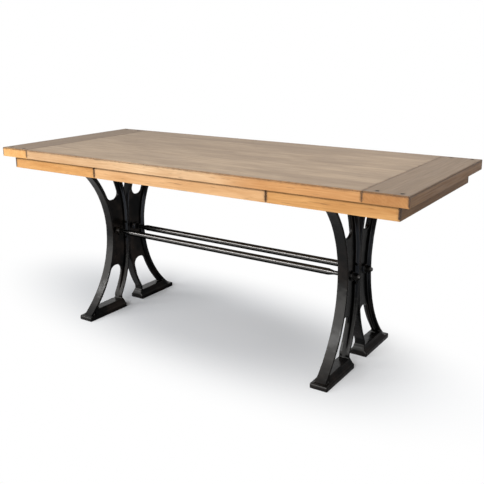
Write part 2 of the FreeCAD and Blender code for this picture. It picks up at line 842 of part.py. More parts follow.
def casting_panels(body, name):
    """Recess both faces to leave a web between the flanges."""
    for face, sign in (("near", 1), ("far", -1)):
        sketch = new_sketch(body, "YZ_Plane", f"{name}_{face}_panel", size.web_thickness / 2 * sign)
        side_outline(sketch, size.flange_thickness, size.plinth_height)
        pocket(body, sketch, backwards=sign > 0)


def casting_openings(body, name):
    """The arched opening in the foot and the slot between the arms."""
    foot_side = Arc(outer_foot_radius + size.outer_rim, outer_foot_centre)
    arch = new_sketch(body, "YZ_Plane", f"{name}_arch")
    floor, crown = size.plinth_height, size.arch_crown
    inner_side = [(size.arch_crown_inner, crown), (size.arch_floor_inner, floor)]
    outline(arch, [(None, floor), (None, crown)] + inner_side, {0: foot_side})
    pocket(body, arch, symmetric=True)
    round_corners(body, size.arch_round, crown)
    arm_side = Arc(slot_outer_radius, outer_arm_centre)
    slot_side = Arc(slot_inner_radius, inner_arm_centre)
    slot = new_sketch(body, "YZ_Plane", f"{name}_slot")
    outline(slot, [(None, size.slot_floor), (None, arm_top), (None, arm_top), (None, size.slot_floor)],
            {0: arm_side, 2: slot_side})
    pocket(body, slot, symmetric=True)
    round_corners(body, size.slot_round, size.slot_floor)


def round_corners(body, radius, height):
    """Round an opening's corners at this height, across the thickness of the web."""
    def corner(edge):
        across = near(edge.BoundBox.XLength, size.web_thickness.value)
        return across and level_at(edge, height.value)

    dress(body, "Fillet", radius, corner)


def casting_plate(body, name):
    """The flat plate on top of the arms, with two holes for the bolts into the bearer."""
    sketch = new_sketch(body, "XY_Plane", f"{name}_plate", arm_top)
    half = size.plate_width / 2
    inner, outer = size.arm_inner_end - size.plate_inner_overhang, arm_end + size.plate_outer_overhang
    rectangle(sketch, (-half, inner), (half, outer))
    holes = [(ZERO, y) for y in plate_bolt_places]
    circles(sketch, holes, size.plate_bolt_diameter + size.thread_clearance * 2)
    pad(body, sketch, size.plate_thickness)


def casting_boss(body, name):
    """The boss that the stretcher rod passes through, and the holes that bolt two castings together."""
    centre = [(size.rod_half_spacing, size.waist_height)]
    boss = new_sketch(body, "YZ_Plane", f"{name}_boss")
    circles(boss, centre, size.boss_diameter)
    pad(body, boss, size.flange_width, symmetric=True)
    bore = new_sketch(body, "YZ_Plane", f"{name}_bore")
    circles(bore, centre, size.stud_diameter + size.thread_clearance * 2)
    pocket(body, bore, symmetric=True)
    bolts = new_sketch(body, "XZ_Plane", f"{name}_bolt_holes")
    places = [(waist_bolt_offset * i, z) for i in (-1, 1) for z in waist_bolt_heights]
    circles(bolts, places, size.waist_bolt_diameter + size.thread_clearance * 2)
    pocket(body, bolts, size.flange_thickness)


def make_castings():
    for side, sign in SIDES.items():
        for end, turn in ENDS.items():
            name = f"trestle_{side}_{end}"
            body = new_body(name, x=trestle_x * sign, half_turn=turn < 0)
            casting_plinth(body, name)
            casting_block(body, name)
            casting_panels(body, name)
            casting_openings(body, name)
            casting_plate(body, name)
            casting_boss(body, name)


def hex_bolt(diameter, flats, head, run, start, axis, headed_first=True):
    """A hex bolt along one axis; start is where its head begins, or where its shank begins."""
    shift = {"x": 0, "y": 1, "z": 2}[axis]
    after = list(start)
    after[shift] = after[shift] + (head if headed_first else run)
    head_start, shank_start = (start, after) if headed_first else (after, start)
    return fuse("bolt", hexagon("bolt_head", flats, head, head_start, axis),
                bar("bolt_shank", diameter, run, shank_start, axis))


def make_bearer_bolts():
    run = size.plate_thickness + size.plate_bolt_bite - size.thread_clearance
    bolts = []
    for sign in SIDES.values():
        for end in ENDS.values():
            for y in plate_bolt_places:
                start = (trestle_x * sign, y * end, arm_top - size.plate_bolt_head)
                bolts.append(hex_bolt(size.plate_bolt_diameter, size.plate_bolt_flats, size.plate_bolt_head,
                                      run, start, "z"))
    keep(group("plate_bolts", bolts), "bearer_bolts")


def make_waist_fasteners():
    nut_height = size.waist_bolt_diameter
    tail = size.waist_bolt_diameter / 2
    run = size.flange_thickness * 2 + nut_height + tail
    bolts, nuts = [], []
    for sign in SIDES.values():
        for beside in (-1, 1):
            for z in waist_bolt_heights:
                x = trestle_x * sign + waist_bolt_offset * beside
                start = (x, -size.flange_thickness - nut_height - tail, z)
                bolts.append(hex_bolt(size.waist_bolt_diameter, size.waist_bolt_flats, size.waist_bolt_head,
                                      run, start, "y", headed_first=False))
                seat = (x, -size.flange_thickness - nut_height, z)
                nuts.append(nut(size.waist_bolt_flats, size.waist_bolt_diameter, nut_height, seat, "y"))
    keep(group("waist_bolt_set", bolts), "waist_bolts")
    keep(group("waist_nut_set", nuts), "waist_nuts")


def nut(flats, thread, run, start, axis):
    hole = bar("nut_hole", thread + size.thread_clearance * 2, run, start, axis)
    return cut("nut", hexagon("nut_blank", flats, run, start, axis), [hole])


# Stretcher rods
def make_rod(end, turn):
    """A round rod that tapers down to a threaded stud at each end."""
    name = f"stretcher_rod_{end}"
    body = new_body(name, y=size.rod_half_spacing * turn, z=size.waist_height)
    profile = new_sketch(body, "XY_Plane", f"{name}_profile")
    tip, stud, full = rod_half_length, size.stud_diameter / 2, size.rod_diameter / 2
    taper_end = nut_inner_face - size.rod_neck
    taper_start = taper_end - size.rod_taper
    half = [(tip, ZERO), (tip, stud - size.stud_chamfer), (tip - size.stud_chamfer, stud), (taper_end, stud),
            (taper_start, full)]
    outline(profile, half + [(-x, y) for x, y in reversed(half)])
    turned = body.newObject("PartDesign::Revolution", f"{name}_turned")
    turned.Profile = profile
    turned.ReferenceAxis = (origin_feature(body, "X_Axis"), [""])
    turned.Angle = 360
    doc.recompute()


def washer(face, y):
    start = (face, y, size.waist_height)
    inside = size.stud_diameter + size.thread_clearance * 2
    blank = bar("washer_blank", size.rod_washer_diameter, size.rod_washer_thickness, start, "x")
    hole = bar("washer_hole", inside, size.rod_washer_thickness, start, "x")
    return cut("washer", blank, [hole])


def make_rod_hardware():
    """A washer and a nut each side of every boss: a jam nut inside and an end nut outside."""
    thick, tall = size.rod_washer_thickness, size.rod_nut_height
    inner_washers, outer_washers, jam_nuts, end_nuts = [], [], [], []
    for turn in ENDS.values():
        y = size.rod_half_spacing * turn
        for sign in SIDES.values():
            first = boss_inner - thick if sign > 0 else -boss_inner
            inner_washers.append(washer(first, y))
            first = boss_outer if sign > 0 else -boss_outer - thick
            outer_washers.append(washer(first, y))
            seat = (nut_inner_face if sign > 0 else -nut_inner_face - tall, y, size.waist_height)
            jam_nuts.append(nut(size.rod_nut_flats, size.stud_diameter, tall, seat, "x"))
            seat = (nut_outer_face - tall if sign > 0 else -nut_outer_face, y, size.waist_height)
            end_nuts.append(nut(size.rod_nut_flats, size.stud_diameter, tall, seat, "x"))
    keep(group("inner_washer_set", inner_washers), "rod_inner_washers")
    keep(group("outer_washer_set", outer_washers), "rod_outer_washers")
    keep(group("jam_nut_set", jam_nuts), "rod_jam_nuts")
    keep(group("end_nut_set", end_nuts), "rod_end_nuts")


def write_files():
    doc.recompute()
    for item in doc.Objects:
        if "Invalid" in item.State or "Error" in item.State:
            raise RuntimeError(f"{item.Label} failed: {item.State}")
    for item in subparts:
        if item.Shape.isNull() or not item.Shape.isValid():
            raise RuntimeError(f"{item.Label} has no valid shape")
    os.makedirs("parts", exist_ok=True)
    for item in subparts:
        item.Shape.exportStep(f"parts/{item.Label}.step")
        print(f"{item.Label}: {len(item.Shape.Solids)} solid(s), {item.Shape.Volume / 1000:.1f} cm3")


make_top_panel()
for side_name, side_sign in SIDES.items():
    make_breadboard(side_name, side_sign)
make_pegs()
make_aprons()
make_corner_blocks()
make_glue_blocks()
for side_name, side_sign in SIDES.items():
    make_bearer(side_name, side_sign)
make_bearer_screws()
make_drawer_front()
for side_name, side_sign in SIDES.items():
    make_drawer_side(side_name, side_sign)
    make_drawer_guide(side_name, side_sign)
    make_drawer_runner(side_name, side_sign)
make_drawer_back_and_bottom()
make_guide_screws()
make_drawer_stops()
make_castings()
make_bearer_bolts()
make_waist_fasteners()
for end_name, end_turn in ENDS.items():
    make_rod(end_name, end_turn)
make_rod_hardware()
write_files()
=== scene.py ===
# %% [markdown]
# # A trestle writing table
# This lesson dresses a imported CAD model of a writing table: a stained timber top with breadboard ends
# and one drawer, on two pairs of black iron castings that two steel rods tie together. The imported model
# is the fixed frame. The lesson adds finishes, softens what the CAD left sharp, and never moves a part.

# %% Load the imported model
import json
import math

import bmesh
import bpy
from mathutils import Matrix, Vector, noise

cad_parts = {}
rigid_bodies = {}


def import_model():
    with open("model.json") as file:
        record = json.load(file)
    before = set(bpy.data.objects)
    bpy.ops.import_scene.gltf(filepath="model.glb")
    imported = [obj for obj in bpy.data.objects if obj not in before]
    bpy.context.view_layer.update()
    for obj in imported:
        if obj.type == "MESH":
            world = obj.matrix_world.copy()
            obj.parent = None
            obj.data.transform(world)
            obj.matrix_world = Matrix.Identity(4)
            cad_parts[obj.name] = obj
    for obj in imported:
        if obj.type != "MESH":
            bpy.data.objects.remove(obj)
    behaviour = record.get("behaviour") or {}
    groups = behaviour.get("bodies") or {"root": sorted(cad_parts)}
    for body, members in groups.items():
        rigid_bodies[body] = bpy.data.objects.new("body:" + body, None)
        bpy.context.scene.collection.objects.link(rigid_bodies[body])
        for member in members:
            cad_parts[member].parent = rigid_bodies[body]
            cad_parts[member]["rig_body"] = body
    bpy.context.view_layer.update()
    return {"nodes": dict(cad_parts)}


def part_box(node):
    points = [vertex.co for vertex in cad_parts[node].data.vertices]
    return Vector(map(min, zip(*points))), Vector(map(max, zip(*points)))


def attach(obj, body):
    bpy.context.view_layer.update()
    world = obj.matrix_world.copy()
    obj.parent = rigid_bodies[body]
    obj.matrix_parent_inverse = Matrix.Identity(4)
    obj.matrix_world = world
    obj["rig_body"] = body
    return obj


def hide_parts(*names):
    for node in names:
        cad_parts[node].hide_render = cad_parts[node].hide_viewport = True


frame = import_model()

nodes = frame["nodes"]

# %% [markdown]
# ## The camera
# The picture was taken from the right of the table's front, a little above its top. A lens is a length
# on a sensor, so the focal length in pixels is turned into millimetres. The camera's own axes are
# written as the columns of its matrix: right, up, and back towards the viewer.

# %% Set the camera
IMAGE_SIDE = 484
FOCAL_PIXELS = 689.55
MIDDLE_PIXEL = (247.67, 211.68)
SENSOR = 36
AZIMUTH = math.radians(33.489)
ELEVATION = math.radians(13.862)
ROLL = math.radians(-0.25)
CAMERA_PLACE = Vector((1.5971, -2.2644, 1.1995))


def camera_axes():
    back = Vector((math.sin(AZIMUTH) * math.cos(ELEVATION), -math.cos(AZIMUTH) * math.cos(ELEVATION),
                   math.sin(ELEVATION)))
    right = Vector((math.cos(AZIMUTH), math.sin(AZIMUTH), 0))
    up = back.cross(right)
    rolled_right = right * math.cos(ROLL) + up * math.sin(ROLL)
    rolled_up = up * math.cos(ROLL) - right * math.sin(ROLL)
    return Matrix((rolled_right, rolled_up, back)).transposed()


camera = bpy.data.objects.new("camera", bpy.data.cameras.new("camera"))
camera.data.sensor_width = SENSOR
camera.data.sensor_fit = "HORIZONTAL"
camera.data.lens = FOCAL_PIXELS / IMAGE_SIDE * SENSOR
camera.data.shift_x = 0.5 - MIDDLE_PIXEL[0] / IMAGE_SIDE
camera.data.shift_y = MIDDLE_PIXEL[1] / IMAGE_SIDE - 0.5
camera.matrix_world = Matrix.Translation(CAMERA_PLACE) @ camera_axes().to_4x4()
bpy.context.scene.collection.objects.link(camera)
bpy.context.scene.camera = camera
bpy.context.scene.view_settings.view_transform = "Standard"
print("camera:", round(camera.data.lens, 2), "mm lens")

# %% [markdown]
# ## Helpers for node trees
# Every finish below is a small network of shader nodes, and a few helpers keep the networks short. One
# adds a node and feeds its inputs, where a value is set and a socket is linked. The others wrap the
# kinds of node that come up again and again. A range node turns a value between two limits into a smooth
# share from nought to one, or between two other numbers, and most masks below are such pairs of limits.
# The Mix node keeps a set of sockets for every kind of data, so the ones for colours are found by number.

# %% Node helpers
MIX_FACTOR, MIX_FIRST, MIX_SECOND, MIX_RESULT = 0, 6, 7, 2


def feed(tree, socket, value):
    if isinstance(value, bpy.types.NodeSocket):
        tree.links.new(value, socket)
    else:
        socket.default_value = value


def add_node(tree, kind, inputs=None, **settings):
    node = tree.nodes.new(kind)
    for name, value in settings.items():
        setattr(node, name, value)
    for name, value in (inputs or {}).items():
        feed(tree, node.inputs[name], value)
    return node


def math_node(tree, operation, *values, clamp=False):
    inputs = dict(enumerate(values))
    return add_node(tree, "ShaderNodeMath", inputs, operation=operation, use_clamp=clamp).outputs[0]


def product(tree, first, *others):
    for other in others:
        first = math_node(tree, "MULTIPLY", first, other)
    return first


def vector_node(tree, operation, first, second):
    inputs = {0: first, 1: second}
    return add_node(tree, "ShaderNodeVectorMath", inputs, operation=operation).outputs["Vector"]


def parts_of(tree, vector):
    return add_node(tree, "ShaderNodeSeparateXYZ", {0: vector}).outputs


def face_normal(tree):
    return tree.nodes.new("ShaderNodeNewGeometry").outputs["Normal"]


def range_node(tree, value, low, high, to_low=0.0, to_high=1.0):
    inputs = {"Value": value, "From Min": low, "From Max": high, "To Min": to_low, "To Max": to_high}
    return add_node(tree, "ShaderNodeMapRange", inputs, interpolation_type="SMOOTHSTEP").outputs["Result"]


def mix_colour(tree, factor, first, second):
    inputs = {MIX_FACTOR: factor, MIX_FIRST: first, MIX_SECOND: second}
    return add_node(tree, "ShaderNodeMix", inputs, data_type="RGBA").outputs[MIX_RESULT]


def noise_node(tree, vector, scale=1.0, detail=3.0, roughness=0.5):
    inputs = {"Vector": vector, "Scale": scale, "Detail": detail, "Roughness": roughness}
    return add_node(tree, "ShaderNodeTexNoise", inputs).outputs["Fac"]


def stretched(tree, vector, scale, turn=0.0, shift=0.0):
    inputs = {"Vector": vector, "Scale": scale, "Rotation": (0, 0, turn), "Location": (shift, 0, 0)}
    return add_node(tree, "ShaderNodeMapping", inputs).outputs["Vector"]


print("node helpers ready")

# %% [markdown]
# An effect that several finishes share is a node group, built once and placed in each of them with its
# own values. In the tables of inputs and outputs, a number stands for a value and an empty text for a
# vector.

# %% Group and material helpers
SOCKETS = {float: "NodeSocketFloat", str: "NodeSocketVector"}


def start_group(name, inputs, outputs):
    tree = bpy.data.node_groups.new(name, "ShaderNodeTree")
    for label, value in inputs.items():
        socket = tree.interface.new_socket(label, in_out="INPUT", socket_type=SOCKETS[type(value)])
        if not isinstance(value, str):
            socket.default_value = value
    for label, value in outputs.items():
        tree.interface.new_socket(label, in_out="OUTPUT", socket_type=SOCKETS[type(value)])
    return tree, tree.nodes.new("NodeGroupInput").outputs, tree.nodes.new("NodeGroupOutput").inputs


def place_group(tree, group, vector, values):
    return add_node(tree, "ShaderNodeGroup", {"Vector": vector, **values}, node_tree=group).outputs


def start_material(name):
    material = bpy.data.materials.new(name)
    material.use_nodes = True
    tree = material.node_tree
    coordinates = tree.nodes.new("ShaderNodeTexCoord").outputs["Object"]
    return material, tree, tree.nodes["Principled BSDF"].inputs, coordinates


print("group sockets:", ", ".join(SOCKETS.values()))

# %% [markdown]
# ## The studio
# The table stands on white paper under soft light. The world is plain white to the camera and in
# reflections, and much dimmer as a light, so that the lamps shape the table. The floor is pale paper
# that takes the table's shadow from the lamps and sends a little light back. Away from the table it
# fades to plain white, in an oval along the table, so no horizon shows; the fade is painted light, and it
# also trims the table's shadow to that oval.

# %% White world
AMBIENT = 0.19
WHITE = (1, 1, 1, 1)

world = bpy.data.worlds.new("studio")
world.use_nodes = True
bpy.context.scene.world = world
world_tree = world.node_tree


def seen_directly(tree):
    path = tree.nodes.new("ShaderNodeLightPath").outputs
    seen = math_node(tree, "MAXIMUM", path["Is Camera Ray"], path["Is Glossy Ray"])
    return math_node(tree, "MAXIMUM", seen, path["Is Transmission Ray"])


world_tree.nodes.clear()
dim = add_node(world_tree, "ShaderNodeBackground", {"Color": WHITE, "Strength": AMBIENT})
white = add_node(world_tree, "ShaderNodeBackground", {"Color": WHITE, "Strength": 1.0})
world_mix = add_node(world_tree, "ShaderNodeMixShader",
                     {0: seen_directly(world_tree), 1: dim.outputs[0], 2: white.outputs[0]})
add_node(world_tree, "ShaderNodeOutputWorld", {"Surface": world_mix.outputs[0]})
print("world: white, ambient", AMBIENT)

# %% Floor
FLOOR_SIDE = 40
FLOOR_DROP = 0.0003
PAPER_COLOUR = (0.915, 0.945, 0.985, 1)
BOUNCE_COLOUR = (0.5, 0.5, 0.5, 1)
FADE_MIDDLE = (-0.17, 0.03, 0)
FADE_TURN = (0, 0, math.radians(-8))
FADE_REACH = (1.56, 0.62, 1)
FADE_START = 0.25
FADE_END = 0.96


def floor_material():
    material = bpy.data.materials.new("white_paper")
    material.use_nodes = True
    tree = material.node_tree
    tree.nodes.clear()
    coordinates = tree.nodes.new("ShaderNodeTexCoord").outputs["Object"]
    oval = {"Vector": coordinates, "Location": FADE_MIDDLE, "Rotation": FADE_TURN, "Scale": FADE_REACH}
    round_place = add_node(tree, "ShaderNodeMapping", oval, vector_type="TEXTURE").outputs["Vector"]
    distance = add_node(tree, "ShaderNodeVectorMath", {0: round_place}, operation="LENGTH")
    seen = seen_directly(tree)
    # The fade is painted light that trims the table's shadow to a soft oval.
    faded = product(tree, range_node(tree, distance.outputs["Value"], FADE_START, FADE_END), seen)
    paper_colour = mix_colour(tree, seen, BOUNCE_COLOUR, PAPER_COLOUR)
    paper = add_node(tree, "ShaderNodeBsdfDiffuse", {"Color": paper_colour})
    blank = add_node(tree, "ShaderNodeEmission", {"Strength": 1.0})
    surface = add_node(tree, "ShaderNodeMixShader", {0: faded, 1: paper.outputs[0], 2: blank.outputs[0]})
    add_node(tree, "ShaderNodeOutputMaterial", {"Surface": surface.outputs[0]})
    return material


def new_piece(name, mesh, material):
    mesh.materials.append(material)
    piece = bpy.data.objects.new(name, mesh)
    bpy.context.scene.collection.objects.link(piece)
    return piece


floor_mesh = bpy.data.meshes.new("floor")
floor_shape = bmesh.new()
bmesh.ops.create_grid(floor_shape, x_segments=1, y_segments=1, size=FLOOR_SIDE / 2)
bmesh.ops.translate(floor_shape, vec=(0, 0, -FLOOR_DROP), verts=floor_shape.verts)
floor_shape.to_mesh(floor_mesh)
floor_shape.free()
floor = new_piece("floor", floor_mesh, floor_material())
print("floor:", FLOOR_SIDE, "m square")

# %% [markdown]
# Three soft boxes light the table. A long strip at the front left runs a highlight down the bowed iron.
# A key at the front is high enough for the top's overhang to throw a fine line of shadow on the apron,
# and narrow enough to keep that line crisp. A wide one overhead lights the top and draws the soft
# shadow on the floor. The right end gets only what the floor returns.

# %% Soft boxes
LAMPS = {
    "strip": dict(place=(-1.82, -2.49, 1.74), target=(-0.92, 0.11, 0.4), sides=(2.7, 0.45), watts=56),
    "key": dict(place=(0.6, -4.1, 2.2), target=(0.2, 0, 0.6), sides=(2.2, 0.45), watts=114),
    "overhead": dict(place=(0.95, 0.35, 3.0), target=(0.15, 0.05, 0.7), sides=(1.8, 1.3), watts=34),
}


def soft_box(name, place, target, sides, watts):
    lamp = bpy.data.lights.new(name, "AREA")
    lamp.shape = "RECTANGLE"
    lamp.size, lamp.size_y = sides
    lamp.energy = watts
    holder = bpy.data.objects.new(name, lamp)
    aim = Vector(target) - Vector(place)
    holder.matrix_world = Matrix.Translation(place) @ aim.to_track_quat("-Z", "Y").to_matrix().to_4x4()
    bpy.context.scene.collection.objects.link(holder)


for lamp_name, lamp_setting in LAMPS.items():
    soft_box(lamp_name, **lamp_setting)
print("lamps:", ", ".join(LAMPS))

# %% [markdown]
# ## Shared effects
# Timber is a bundle of growth rings cut flat, so the grain is made in the solid: a ring wave runs along
# the board, and a mapping that is squeezed along the grain draws its wobble out into long figure. A
# board glued up from staves changes its rings at every glue line, so each stave shifts the wave by its
# own number. Finer noises, drawn out even more, give the fibre and the short dashes of the pores, and a
# slow one gives the clouds of stain. The Wave texture repeats every 0.314 m at a scale of one, so its
# scale is that length over the spacing of the rings.

# %% Wood grain group
STAVE_SHIFT = (3.0, 0.12, 0.16)
HEART_PLACE = (0, 0.03, 0.14)
SWAY = (0.0, 0.03, 0.03)
SWAY_STRETCH = (3, 9, 9)
RING_STRETCH = (0.09, 1, 1)
STREAK_STRETCH = (4.5, 52, 52)
FIBRE_STRETCH = (7, 330, 330)
PORE_STRETCH = (14, 260, 260)
CLOUD_STRETCH = (2.2, 7, 7)
STREAK_SPREAD = (0.32, 0.68)
PORE_SPREAD = (0.64, 0.74)
CLOUD_SPREAD = (0.34, 0.66)
WAVE_LENGTH = 0.314
RING_WAVE = {"Distortion": 9.0, "Detail": 3.0, "Detail Scale": 0.6, "Detail Roughness": 0.6}
RING_SHARE, STREAK_SHARE = 0.35, 0.65


def make_grain_group():
    tree, given, out = start_group(
        "wood grain",
        {"Vector": "", "Ring spacing": 0.01, "Stave width": 5.0},
        {"Figure": 0.0, "Fibre": 0.0, "Flecks": 0.0, "Cloud": 0.0, "Stave": 0.0})
    parts = parts_of(tree, given["Vector"])
    stave = math_node(tree, "FLOOR", math_node(tree, "DIVIDE", parts["Y"], given["Stave width"]))
    chance = add_node(tree, "ShaderNodeTexWhiteNoise", {"W": stave}, noise_dimensions="1D").outputs
    shift = vector_node(tree, "MULTIPLY", chance["Color"], STAVE_SHIFT)
    heart = vector_node(tree, "ADD", shift, HEART_PLACE)
    local = math_node(tree, "SUBTRACT", parts["Y"], product(tree, stave, given["Stave width"]))
    board = add_node(tree, "ShaderNodeCombineXYZ", {"X": parts["X"], "Y": local, "Z": parts["Z"]})
    placed = vector_node(tree, "ADD", board.outputs[0], heart)
    bend = add_node(tree, "ShaderNodeTexNoise",
                    {"Vector": stretched(tree, placed, SWAY_STRETCH), "Scale": 1.0, "Detail": 2.0})
    swayed = vector_node(tree, "ADD", placed, vector_node(tree, "MULTIPLY", bend.outputs["Color"], SWAY))
    slow = stretched(tree, swayed, RING_STRETCH)
    scale = math_node(tree, "DIVIDE", WAVE_LENGTH, given["Ring spacing"])
    wave = add_node(tree, "ShaderNodeTexWave", {"Vector": slow, "Scale": scale, **RING_WAVE},
                    wave_type="RINGS", rings_direction="X", wave_profile="SIN")
    streak = noise_node(tree, stretched(tree, swayed, STREAK_STRETCH), detail=5.0, roughness=0.62)
    streaky = range_node(tree, streak, *STREAK_SPREAD)
    figure = math_node(tree, "ADD", product(tree, wave.outputs["Fac"], RING_SHARE),
                       product(tree, streaky, STREAK_SHARE))
    tree.links.new(figure, out["Figure"])
    fibre = noise_node(tree, stretched(tree, placed, FIBRE_STRETCH), detail=4.0, roughness=0.6)
    tree.links.new(fibre, out["Fibre"])
    dashes = noise_node(tree, stretched(tree, placed, PORE_STRETCH), detail=2.0)
    tree.links.new(range_node(tree, dashes, *PORE_SPREAD), out["Flecks"])
    cloud = noise_node(tree, stretched(tree, placed, CLOUD_STRETCH), detail=4.0, roughness=0.6)
    tree.links.new(range_node(tree, cloud, *CLOUD_SPREAD), out["Cloud"])
    tree.links.new(chance["Value"], out["Stave"])
    return tree


grain_group = make_grain_group()
print("group:", grain_group.name)

# %% [markdown]
# Edges tell how a thing was finished and used. Dark glaze stays in every arris and seam of the timber,
# and hands rub the iron's edges bare. Both need to know where an edge is. The Bevel node gives the
# normal of a rounded edge, so wherever that differs from the face's own normal, an edge is near. The
# rounded normal also tells which edges look down. The boards show no glaze along their lower edges, so
# a second output is nought there.

# %% Edge finder group
BEVEL_SAMPLES = 6
SAME_AS_FACE, AT_EDGE = 0.9995, 0.965
WEAR_SCALE, WEAR_SPREAD = 60.0, (0.35, 0.65)
LOOKS_DOWN, LOOKS_LEVEL = -0.12, -0.03


def make_edge_group():
    tree, given, out = start_group("edge finder", {"Vector": "", "Reach": 0.003, "Break-up": 0.5},
                                   {"Edge": 0.0, "Not below": 0.0})
    bevel = add_node(tree, "ShaderNodeBevel", {"Radius": given["Reach"]}, samples=BEVEL_SAMPLES)
    rounded = bevel.outputs["Normal"]
    alike = add_node(tree, "ShaderNodeVectorMath", {0: rounded, 1: face_normal(tree)},
                     operation="DOT_PRODUCT")
    near = range_node(tree, alike.outputs["Value"], SAME_AS_FACE, AT_EDGE)
    patchy = range_node(tree, noise_node(tree, given["Vector"], scale=WEAR_SCALE), *WEAR_SPREAD)
    kept = math_node(tree, "SUBTRACT", 1.0, product(tree, patchy, given["Break-up"]))
    tree.links.new(math_node(tree, "MULTIPLY", near, kept, clamp=True), out["Edge"])
    tilt = parts_of(tree, rounded)["Z"]
    tree.links.new(range_node(tree, tilt, LOOKS_DOWN, LOOKS_LEVEL), out["Not below"])
    return tree


edge_group = make_edge_group()
print("group:", edge_group.name)

# %% [markdown]
# ## Timber finishes
# One recipe serves every timber: a light and a dark wood colour mixed by the growth rings and fibre, a
# slow cloud of stain, dark pores, and glaze along the edges, as a soft band and a crisp line. What
# differs is in the recipe's values. Stain takes differently from face to face, so a timber may also
# have a pair of colours for faces that lie flat and for the ends of the table. A pair for its left is
# a painted light, which makes the edge of the top paler there.

# %% Timber recipe
FACE_TURNS = (0.6, 0.9)
LEFT_PAINTED_LIGHT = (0.45, 0.1)
FIBRE_DEPTH = (0.3, 0.72, -0.12, 0.22)
FIBRE_SPREAD = (0.25, 0.75)
STAVE_SHARE = 0.4
SOFT_BAND = {"Reach": 0.018, "Break-up": 0.7}
FINE_LINE = {"Reach": 0.0095, "Break-up": 0.12}
LINE_EDGE = (0.12, 0.4)
FAINTER_WHEN_FLAT = (0.9, 0.6, 0.25, 1.0)
FIBRE_HEIGHT = 0.0004


def timber(name, light, dark, glaze, top=None, end=None, left=None, turn=0.0, spacing=0.01, stave=5.0,
           figure=0.75, cloud=0.5, flecks=0.45, arris=1.0, burnish=0.4, gloss=(0.48, 0.62), bump=0.15,
           shine=0.3, shift=0.0):
    material, tree, shader, coordinates = start_material(name)
    along = stretched(tree, coordinates, (1, 1, 1), turn, shift)
    grain = place_group(tree, grain_group, along, {"Ring spacing": spacing, "Stave width": stave})
    facing = parts_of(tree, face_normal(tree))
    endwise = math_node(tree, "ABSOLUTE", facing["X"])
    flat = math_node(tree, "ABSOLUTE", facing["Z"])
    across = parts_of(tree, coordinates)["X"]
    light_wood, dark_wood, glaze = (*light, 1), (*dark, 1), (*glaze, 1)
    # The pair for the left is painted light on the edge of the top.
    for tones, measure, limits in ((left, across, LEFT_PAINTED_LIGHT), (end, endwise, FACE_TURNS),
                                   (top, flat, FACE_TURNS)):
        if tones:
            share = range_node(tree, measure, *limits)
            light_wood = mix_colour(tree, share, light_wood, (*tones[0], 1))
            dark_wood = mix_colour(tree, share, dark_wood, (*tones[1], 1))
    fine = range_node(tree, grain["Fibre"], *FIBRE_DEPTH)
    depth = math_node(tree, "ADD", product(tree, grain["Figure"], figure), fine, clamp=True)
    colour = mix_colour(tree, depth, light_wood, dark_wood)
    shade = math_node(tree, "ADD", product(tree, grain["Cloud"], cloud),
                      product(tree, grain["Stave"], cloud * STAVE_SHARE), clamp=True)
    stained = mix_colour(tree, shade, colour, dark_wood)
    flecked = mix_colour(tree, product(tree, grain["Flecks"], flecks), stained, glaze)
    band = place_group(tree, edge_group, coordinates, SOFT_BAND)
    burnished = mix_colour(tree, product(tree, band["Edge"], band["Not below"], burnish), flecked, glaze)
    line = place_group(tree, edge_group, coordinates, FINE_LINE)
    held = product(tree, line["Not below"], range_node(tree, flat, *FAINTER_WHEN_FLAT))
    drawn = product(tree, range_node(tree, line["Edge"], *LINE_EDGE), held, arris)
    tree.links.new(mix_colour(tree, drawn, burnished, glaze), shader["Base Color"])
    tree.links.new(range_node(tree, grain["Fibre"], *FIBRE_SPREAD, *gloss), shader["Roughness"])
    raised = math_node(tree, "SUBTRACT", grain["Fibre"], grain["Flecks"])
    relief = add_node(tree, "ShaderNodeBump",
                      {"Height": raised, "Strength": bump, "Distance": FIBRE_HEIGHT})
    tree.links.new(relief.outputs[0], shader["Normal"])
    shader["Specular IOR Level"].default_value = shine
    return material


print("timber recipe ready, with glaze lines within", FINE_LINE["Reach"], "m of an edge")

# %% Timber colours
# CREAM and BUFF, WHEAT and TOFFEE paint light on the left of the table.
HONEY, AMBER = (0.71, 0.385, 0.140), (0.46, 0.205, 0.055)
# BLOND and STRAW_GOLD paint the brighter light on the middle of the front, on the drawer.
BLOND, STRAW_GOLD = (0.74, 0.450, 0.222), (0.53, 0.278, 0.112)
FLAX, OCHRE = (0.70, 0.380, 0.157), (0.447, 0.194, 0.061)
CREAM, BUFF = (0.742, 0.512, 0.304), (0.474, 0.262, 0.119)
BROWN, UMBER = (0.470, 0.350, 0.240), (0.255, 0.184, 0.128)
CHESTNUT, WALNUT = (0.268, 0.186, 0.120), (0.178, 0.122, 0.076)
GINGER, RUST = (0.54, 0.270, 0.097), (0.385, 0.162, 0.044)
WHEAT, TOFFEE = (0.79, 0.452, 0.175), (0.57, 0.273, 0.080)
TAN, RUSSET = (0.385, 0.200, 0.075), (0.18, 0.085, 0.029)
PALE, STRAW = (0.62, 0.47, 0.29), (0.45, 0.31, 0.17)
GLAZE = (0.035, 0.019, 0.011)
BOG_OAK, INK = (0.02, 0.014, 0.01), (0.012, 0.009, 0.007)
QUARTER_TURN = math.pi / 2
SAWN = dict(arris=0.2, burnish=0, gloss=(0.6, 0.75), bump=0.4)
SEALED = dict(arris=0.2, burnish=0, gloss=(0.42, 0.55))

